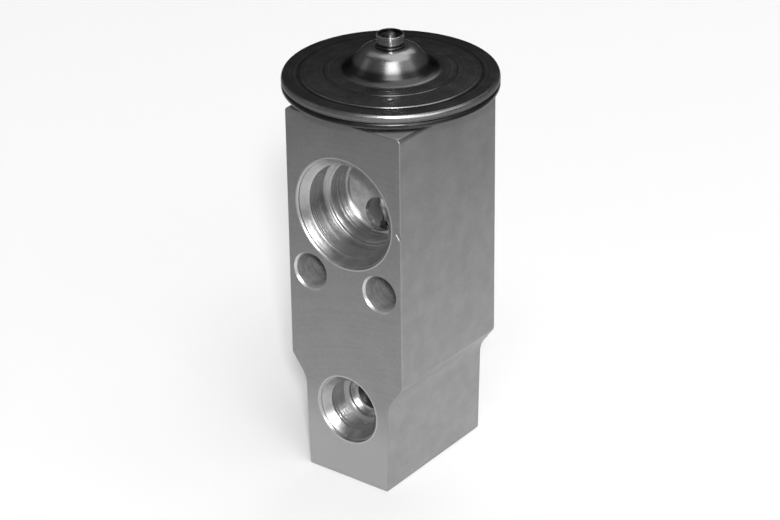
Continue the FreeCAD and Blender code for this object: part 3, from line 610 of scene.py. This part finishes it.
# %% [markdown]
# Drilled holes and inner passages are rougher than turned bores and uneven in shade. They are
# hardly seen, so one finish serves them all, with a few lines along the working axis.

# %% Drilled holes
DRILLED_DARK = (0.34, 0.34, 0.34)
DRILLED_LIGHT = (0.68, 0.68, 0.68)

drilled, tree, shader, spot = finish("drilled_aluminium", metallic=0.9, turned_about_y=True)
spots = use(tree, mottle, spot, Cloud_size=1.6, Grain_size=0.25)
strokes = use(tree, drawn, spot, Line_width=0.3, Line_length=3.0)
shade = weighted(tree, [(spots["Clouds"], 0.5), (spots["Grain"], 0.3), (strokes["Lines"], 0.2)])
tree.links.new(grey_between(tree, shade, DRILLED_DARK, DRILLED_LIGHT), shader.inputs["Base Color"])
tree.links.new(weighted(tree, [(spots["Clouds"], 0.15)], start=0.35), shader.inputs["Roughness"])
relief(tree, shader, spots["Clouds"], depth_mm=0.02)
print("finish", drilled.name)

# %% [markdown]
# The block is one solid with several finishes. It could be cut into a piece for each, but then it
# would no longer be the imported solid, so its faces are sorted into material slots by where they
# lie. Material numbers may change on a solid from the frame: only its points are fixed.

# %% Finishes of the block
PORT_DEPTH = 11.05
LEDGE_DEPTH = 7.0
TOP_END = 70.0
BOLT_EDGE_RADIUS = 3.85
AXIAL_BORE_REACH = 8.3
FACE_TOLERANCE = 0.02

# How square a face stands to an axis is its normal's part along that axis.
SQUARE_FACE = 0.99
SQUARE_LEDGE = 0.95
SQUARE_TOP = 0.9
SQUARE_SHELF = 0.999

block = nodes["valve_body"]
block.data.materials.clear()
for material in [side, milled, drilled, port_floor, sawn_end] + hole_finishes + port_finishes:
    block.data.materials.append(material)
SIDE, MILLED, DRILLED, PORT_FLOOR, SAWN_END, FIRST_HOLE, SECOND_HOLE, FIRST_PORT = range(8)


def block_finish(centre, normal):
    """The slot number for a face of the block, from its middle in mm and its direction."""
    depth = BODY_HALF_DEPTH - abs(centre.y)
    if depth < FACE_TOLERANCE and abs(normal.y) > SQUARE_FACE:
        return MILLED
    for number, (face_side, axis_height, mouth) in enumerate(PORTS.values()):
        away = math.hypot(centre.x, centre.z - axis_height)
        if centre.y * face_side > 0 and depth < PORT_DEPTH and away < mouth:
            if abs(normal.y) > SQUARE_LEDGE:
                return PORT_FLOOR if depth > LEDGE_DEPTH else MILLED
            return FIRST_PORT + number
    if abs(abs(centre.x) - BODY_HALF_WIDTH) < FACE_TOLERANCE:
        return SIDE
    for slot_number, hole_x in zip((FIRST_HOLE, SECOND_HOLE), BOLT_PLACES):
        if math.hypot(centre.x - hole_x, centre.z - BOLT_HEIGHT) < BOLT_EDGE_RADIUS:
            return slot_number
    if normal.z > SQUARE_TOP and centre.z > TOP_END:
        return SAWN_END
    if math.hypot(centre.x, centre.y) < AXIAL_BORE_REACH and abs(normal.z) < SQUARE_SHELF:
        return DRILLED
    return SIDE


counts = [0] * len(block.data.materials)
for face in block.data.polygons:
    face.material_index = block_finish(face.center / MM, face.normal)
    counts[face.material_index] += 1
print("faces of the block by finish:", counts)

# %% [markdown]
# The head is pressed from steel sheet with a dark, glossy skin. Spinning has left very fine rings.
# It mirrors the room sharply, so its colour stays dark and its gloss does the rest. The skin
# doesn't brighten at a glance as bare metal does, so the edge tint is low. The marks on the cover
# are painted highlights and painted shade. They could be painted as an image, but nearly all of
# them run round the axis, so each is a band about one radius.

# %% Marks on the head
cover_high = box_mm("head_cover")[1]
BELL_RISE = 5.15
ROLL_DROP = 0.6
ROLL_MIDDLE = cover_high.z - BELL_RISE - ROLL_DROP

# Middle, half width, soft edge and strength of a band.
# Painted highlights on the rolled edge and the outer step; painted shade in the crease and about the foot
# of the bell.
ROLLED_EDGE = (19.95, 0.25, 0.12, 1.0)
ROLLED_HEIGHT = (ROLL_MIDDLE, 0.4, 0.12, 1.0)
OUTER_STEP = (16.5, 0.04, 0.05, 0.35)
CREASE = (16.95, 0.2, 0.2, 0.45)
BELL_FOOT = (7.95, 0.8, 0.5, 0.7)

# Start, end and the strength at each of them, for marks that fade one way.
# Painted shade along the border, a painted sheen on the bell, then a punch mark: a dent in the relief with
# a painted glint laid on it.
BORDER = (17.6, 18.4, 0.0, 0.12)
PAINTED_BELL_SHEEN = (6.2, 7.2, 0.3, 0.0)
DENT_AND_GLINT_AT = (8.2, -10.95, 0)
DENT_AND_GLINT = (0.0, 0.65, 1.0, 0.0)
PUNCH_DEPTH = 0.24


def band(tree, value, middle, half_width, soft_edge, strength):
    """A mask that is at its strength within half a width of the middle, and then fades."""
    away = math_node(tree, "ABSOLUTE", math_node(tree, "SUBTRACT", value, middle))
    return level(tree, away, half_width, half_width + soft_edge, strength, 0.0)


print("rolled edge at", round(ROLL_MIDDLE, 2), "mm, bell", BELL_RISE, "mm high")

# %% [markdown]
# On the rolled edge and on the outer step, lighter steel is laid on as painted highlights, and on
# the bell as a painted sheen. The crease outside the step, the foot of the bell and the border
# between the crease and the rolled edge are darker steel, painted shade. In front of the bell there
# is one small punch mark, a cone in the relief, with a painted glint on it. Where marks of one kind
# meet, the strongest counts, so that they never add up to more than the shade itself.

# %% Dark head steel
HEAD_DARK = (0.145, 0.145, 0.145)
HEAD_LIGHT = (0.255, 0.255, 0.255)
# Lighter steel for the painted highlights and sheen.
HEAD_PAINTED_HIGHLIGHT = (0.5, 0.5, 0.5)
# Darker steel for the painted shade.
HEAD_PAINTED_SHADE = (0.02, 0.02, 0.02)
HEAD_EDGE_TINT = (0.3, 0.3, 0.3, 1)
HEAD_RELIEF = 0.004

dark, tree, shader, spot = finish("dark_head_steel")
shader.inputs["Specular Tint"].default_value = HEAD_EDGE_TINT
marks = use(tree, turned, spot, Ring_width=0.22)
spots = use(tree, mottle, spot, Cloud_size=3.5, Grain_size=0.25)
shade = weighted(tree, [(marks["Rings"], 0.5), (spots["Clouds"], 0.2), (spots["Grain"], 0.3)])
plain = grey_between(tree, shade, HEAD_DARK, HEAD_LIGHT)
from_axis = marks["Radius"]
over_foot = add(tree, "ShaderNodeSeparateXYZ", {"Vector": spot}).outputs["Z"]

# Painted shade in the crease, about the foot of the bell and along the border.
painted_shade = highest(tree, [band(tree, from_axis, *CREASE), band(tree, from_axis, *BELL_FOOT),
                        level(tree, from_axis, *BORDER)])
on_roll = math_node(tree, "MULTIPLY", band(tree, from_axis, *ROLLED_EDGE),
                    band(tree, over_foot, *ROLLED_HEIGHT))
flat_place = add(tree, "ShaderNodeVectorMath", {0: spot, 1: (1, 1, 0)}, operation="MULTIPLY")
from_mark = add(tree, "ShaderNodeVectorMath", {0: flat_place.outputs["Vector"], 1: DENT_AND_GLINT_AT},
                operation="DISTANCE").outputs["Value"]
on_dent_and_glint = level(tree, from_mark, *DENT_AND_GLINT)
# Painted highlights on the rolled edge, the punch mark and the outer step, and a painted sheen on the bell.
painted_highlights = highest(tree, [on_roll, on_dent_and_glint, band(tree, from_axis, *OUTER_STEP),
                          level(tree, from_axis, *PAINTED_BELL_SHEEN)])

with_painted_shade = laid_over(tree, plain, painted_shade, HEAD_PAINTED_SHADE)
tree.links.new(laid_over(tree, with_painted_shade, painted_highlights, HEAD_PAINTED_HIGHLIGHT), shader.inputs["Base Color"])
tree.links.new(weighted(tree, [(spots["Clouds"], 0.06), (marks["Rings"], 0.05)], start=0.2),
               shader.inputs["Roughness"])
relief(tree, shader, weighted(tree, [(marks["Rings"], 0.9), (spots["Clouds"], 0.1),
                                     (on_dent_and_glint, -PUNCH_DEPTH / HEAD_RELIEF)]), HEAD_RELIEF)
print("finish", dark.name)

# %% [markdown]
# The lower sheet is the same steel, painted darker than the cover: painted shade under the rim. It
# could share the cover's finish, but the marks there belong to the cover's own radii.

# %% Lower head steel
# Darker than the cover: painted shade under the rim.
UNDER_PAINTED_SHADE_DARK = (0.05, 0.05, 0.05)
UNDER_PAINTED_SHADE_LIGHT = (0.10, 0.10, 0.10)

under, tree, shader, spot = finish("lower_head_steel")
marks = use(tree, turned, spot, Ring_width=0.22)
spots = use(tree, mottle, spot, Cloud_size=3.0, Grain_size=0.25)
shade = weighted(tree, [(marks["Rings"], 0.5), (spots["Clouds"], 0.3), (spots["Grain"], 0.2)])
tree.links.new(grey_between(tree, shade, UNDER_PAINTED_SHADE_DARK, UNDER_PAINTED_SHADE_LIGHT), shader.inputs["Base Color"])
tree.links.new(weighted(tree, [(spots["Clouds"], 0.08)], start=0.28), shader.inputs["Roughness"])
relief(tree, shader, marks["Rings"], depth_mm=0.003)
print("finish", under.name)

# %% [markdown]
# The other metals are one recipe with different shades: turned rings and mottle over a plain
# grey. Rubber and plastic have another, with no rings. Each could be a material built by hand, but
# a function keeps them alike and shows only what differs.

# %% Other finishes
def turned_metal(name, dark_shade, light_shade, roughness, ring_width, depth):
    """A turned metal between two greys, with rings about the working axis."""
    material, tree, shader, spot = finish(name)
    marks = use(tree, turned, spot, Ring_width=ring_width)
    spots = use(tree, mottle, spot, Cloud_size=1.5, Grain_size=0.2)
    shade = weighted(tree, [(marks["Rings"], 0.6), (spots["Clouds"], 0.4)])
    tree.links.new(grey_between(tree, shade, (dark_shade,) * 3, (light_shade,) * 3),
                   shader.inputs["Base Color"])
    tree.links.new(weighted(tree, [(spots["Clouds"], 0.08)], start=roughness),
                   shader.inputs["Roughness"])
    relief(tree, shader, marks["Rings"], depth)
    return material


# Darkest and lightest grey, roughness, then the rings' width and depth in mm.
bright = turned_metal("bright_steel", 0.55, 0.7, 0.14, 0.12, 0.001)
boss_wall = turned_metal("boss_wall_steel", 0.42, 0.6, 0.14, 0.12, 0.022)
# A darker copy of the boss's steel: painted shade on its top, recess, collar and groove, and on the ball.
boss_painted_shade = turned_metal("boss_painted_shade_steel", 0.05, 0.11, 0.26, 0.12, 0.0005)
spring_wire = turned_metal("spring_steel", 0.42, 0.58, 0.22, 0.15, 0.002)
rod_metal = turned_metal("rod_aluminium", 0.55, 0.72, 0.28, 0.18, 0.004)
plated = turned_metal("plated_steel", 0.45, 0.62, 0.24, 0.16, 0.003)


def plain_polymer(name, dark_shade, light_shade, roughness, grain_size):
    """Rubber or plastic with a fine grain."""
    material, tree, shader, spot = finish(name, metallic=0.0)
    spots = use(tree, mottle, spot, Cloud_size=1.2, Grain_size=grain_size)
    shade = weighted(tree, [(spots["Clouds"], 0.6), (spots["Grain"], 0.4)])
    tree.links.new(grey_between(tree, shade, dark_shade, light_shade), shader.inputs["Base Color"])
    tree.links.new(weighted(tree, [(spots["Grain"], 0.12)], start=roughness),
                   shader.inputs["Roughness"])
    relief(tree, shader, spots["Grain"], depth_mm=0.003)
    return material


# Darkest and lightest shade, roughness and the grain's size in mm.
rubber = plain_polymer("seal_rubber", (0.018, 0.018, 0.018), (0.04, 0.04, 0.04), 0.48, 0.15)
washer = plain_polymer("washer_plastic", (0.78, 0.78, 0.75), (0.86, 0.86, 0.84), 0.35, 0.2)

FINISH_OF = {
    "head_cover": dark, "head_lower_housing": under, "diaphragm": spring_wire, "charge_boss": bright,
    "charge_ball": boss_painted_shade, "head_seal": rubber, "diaphragm_pad": rod_metal, "sensing_rod": rod_metal,
    "push_pin": spring_wire, "seal_washer": washer, "pin_seal": rubber, "seal_retainer": plated,
    "valve_seat": spring_wire, "valve_ball": bright, "ball_carrier": plated, "damping_spring": spring_wire,
    "valve_spring": spring_wire, "adjusting_screw": plated, "adjuster_seal": rubber,
}
for name, material in FINISH_OF.items():
    nodes[name].data.materials.clear()
    nodes[name].data.materials.append(material)
print("finished nodes:", 1 + len(FINISH_OF))

# %% [markdown]
# Turned and spun pieces are made from their half section. A few corners are joined to a closed
# run of edges, each corner that needs it is rounded with a vertex bevel, and the run is spun once
# about the Z axis. A fine spin matters on bright steel, because every facet would show in the
# glints.

# %% Spinning a section
SPIN_STEPS = 256
ROUND_SEGMENTS = 8
MERGE_DISTANCE = 1e-7
SMOOTH_ANGLE = 32.0


def spun(name, section, material, steps=SPIN_STEPS):
    """A turned piece from a closed section of (radius, height, rounding) corners in mm."""
    bm = bmesh.new()
    corners = [bm.verts.new((radius * MM, 0, height * MM)) for radius, height, _ in section]
    for first, second in zip(corners, corners[1:] + corners[:1]):
        bm.edges.new((first, second))
    for corner, (_, _, rounding) in zip(corners, section):
        if rounding:
            bmesh.ops.bevel(bm, geom=[corner], offset=rounding * MM, offset_type="OFFSET",
                            segments=ROUND_SEGMENTS, profile=0.5, affect="VERTICES", material=-1,
                            clamp_overlap=True)
    bmesh.ops.spin(bm, geom=bm.verts[:] + bm.edges[:], cent=(0, 0, 0), axis=(0, 0, 1),
                   angle=math.tau, steps=steps, use_merge=True)
    bmesh.ops.remove_doubles(bm, verts=bm.verts, dist=MERGE_DISTANCE)
    bmesh.ops.recalc_face_normals(bm, faces=bm.faces)
    piece = new_mesh_object(name, bm)
    smooth_by_angle(piece)
    piece.data.materials.append(material)
    return piece


def smooth_by_angle(piece, angle=SMOOTH_ANGLE):
    """Smooth shading, except across edges sharper than the angle."""
    for face in piece.data.polygons:
        face.use_smooth = True
    piece.data.set_sharp_from_angle(angle=math.radians(angle))


# %% [markdown]
# The cover is one pressed sheet. From the middle out it has a bell that carries the charging
# boss, a dish with two very low steps, and a rim that is rolled round where it was crimped to the
# lower sheet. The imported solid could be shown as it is, but its facets would kink the mirrored
# lamps, so the sheet is spun again and finer. The roll is higher than it is wide, so it is drawn as
# a quarter of an ellipse. The section is the upper line out to the rim and the same line back, one
# sheet lower.

# %% Head cover
COVER_SHEET = 1.3
ROLL_WIDTH = 0.5
ROLL_HEIGHT = 1.0
ROLL_POINTS = 10
RIM_ROUNDING = 0.12

# Radius, height over the rim and rounding of each corner, from the middle out.
COVER_LINE = [(0.85, BELL_RISE, 0), (4.7, BELL_RISE, 1.6), (8.4, 0.66, 1.3), (12.1, 0.52, 0),
              (12.2, 0.38, 0), (16.45, 0.16, 0.06), (16.55, 0.0, 0)]

rim_under = cover_high.z - BELL_RISE - COVER_SHEET
rim_top = rim_under + COVER_SHEET
upper = [(radius, rim_top + rise, rounding) for radius, rise, rounding in COVER_LINE]
lower = [(radius, height - COVER_SHEET, rounding) for radius, height, rounding in reversed(upper)]
rim = []
for step in range(ROLL_POINTS + 1):
    angle = math.radians(90 - 90 * step / ROLL_POINTS)
    rim.append((cover_high.x - ROLL_WIDTH + ROLL_WIDTH * math.cos(angle),
                rim_top - ROLL_HEIGHT + ROLL_HEIGHT * math.sin(angle), 0))
rim.append((cover_high.x, rim_under, RIM_ROUNDING))
cover = spun("head_cover_shell", upper + rim + lower, dark)
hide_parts("head_cover")
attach(cover, "block")
print("cover rim from", round(rim_under, 2), "to", round(rim_top, 2), "mm")
print("cover", len(cover.data.polygons), "faces")

# %% [markdown]
# The charging boss is turned from bright steel: a collar at its foot, a groove above that, a short
# drum with a broken edge, and a recess whose ball closed the charging hole. It is spun as the cover
# is. Only the drum's wall keeps the bright finish; all else gets a darker copy of it by place, as
# painted shade.

# %% Charging boss
BOSS_SPIN_STEPS = 128
DARK_WITHIN = 2.44
DARK_BELOW = 0.6

boss_low, boss_high = box_mm("charge_boss")
boss_section = [(0.85, boss_low.z, 0), (2.75, boss_low.z, 0), (2.85, boss_low.z + 0.2, 0.08),
                (2.7, boss_low.z + 0.42, 0.1), (2.3, boss_low.z + 0.44, 0), (2.3, boss_low.z + 0.66, 0),
                (2.5, boss_low.z + 0.66, 0.04), (2.5, boss_high.z, 0.07), (2.15, boss_high.z, 0.05),
                (2.15, boss_high.z - 0.7, 0.1), (1.5, boss_high.z - 0.7, 0.05), (1.5, boss_low.z + 0.7, 0)]
boss = spun("charge_boss_turned", boss_section, boss_wall, steps=BOSS_SPIN_STEPS)
boss.data.materials.append(boss_painted_shade)
# The top, the recess, the collar and the groove take the painted shade.
for face in boss.data.polygons:
    within = math.hypot(face.center.x, face.center.y) / MM < DARK_WITHIN
    if within or face.center.z / MM < boss_low.z + DARK_BELOW:
        face.material_index = 1
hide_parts("charge_boss")
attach(boss, "block")
print("boss", len(boss.data.polygons), "faces")

# %% [markdown]
# The valve spring is made again, because it has to give way at both ends: its upper end rests under
# the ball carrier and goes down with the stem, and its lower end rests on the adjusting screw and
# follows that. So it is two halves that meet in the middle. Spin could screw a ring of points
# upwards, but only with one even pitch. So a loop sets the rings itself, along a helix whose end
# turns lie close, and the ends are ground flat by holding every point between the two seats.

# %% Valve spring
SPRING_TURNS = 4.5
WIRE_RADIUS = 0.45
STEPS_PER_TURN = 40
WIRE_SIDES = 14
WIRE_SMOOTH_ANGLE = 50.0
SLOPE_STEP = 0.0005

spring_low, spring_high = box_mm("valve_spring")
coil_radius = spring_high.x - WIRE_RADIUS
free_rise = spring_high.z - spring_low.z - 2 * WIRE_RADIUS * SPRING_TURNS
step_count = int(STEPS_PER_TURN * SPRING_TURNS)


def coil_point(share):
    """A point on the spring's centre line, from 0 at the bottom to 1 at the top, in mm."""
    angle = math.tau * SPRING_TURNS * share
    eased = share - math.sin(math.tau * share) / math.tau
    height = spring_low.z + 2 * WIRE_RADIUS * SPRING_TURNS * share + free_rise * eased
    return Vector((coil_radius * math.cos(angle), coil_radius * math.sin(angle), height))


def coil(name, first_share, last_share):
    """The part of the spring between two shares of its length, as a closed tube of wire."""
    bm = bmesh.new()
    count = int(step_count * (last_share - first_share))
    loops = []
    for step in range(count + 1):
        share = first_share + (last_share - first_share) * step / count
        middle = coil_point(share)
        along = (coil_point(share + SLOPE_STEP) - coil_point(share - SLOPE_STEP)).normalized()
        outward = Vector((middle.x, middle.y, 0)).normalized()
        upward = along.cross(outward).normalized()
        loop = []
        for number in range(WIRE_SIDES):
            angle = math.tau * number / WIRE_SIDES
            point = middle + (outward * math.cos(angle) + upward * math.sin(angle)) * WIRE_RADIUS
            point.z = min(max(point.z, spring_low.z), spring_high.z)
            loop.append(bm.verts.new(point * MM))
        loops.append(loop)
    for lower_loop, upper_loop in zip(loops, loops[1:]):
        for number in range(WIRE_SIDES):
            after = (number + 1) % WIRE_SIDES
            bm.faces.new((lower_loop[number], lower_loop[after], upper_loop[after], upper_loop[number]))
    bm.faces.new(loops[0])
    bm.faces.new(loops[-1])
    bmesh.ops.recalc_face_normals(bm, faces=bm.faces)
    piece = new_mesh_object(name, bm)
    smooth_by_angle(piece, WIRE_SMOOTH_ANGLE)
    piece.data.materials.append(spring_wire)
    return piece


upper_coil = coil("valve_spring_upper_turns", 0.5, 1.0)
lower_coil = coil("valve_spring_lower_turns", 0.0, 0.5)
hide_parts("valve_spring")
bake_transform(upper_coil)
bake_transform(lower_coil)
print("spring", round(spring_high.z - spring_low.z, 2), "mm long")
print("each half of the spring", len(upper_coil.data.polygons), "faces")
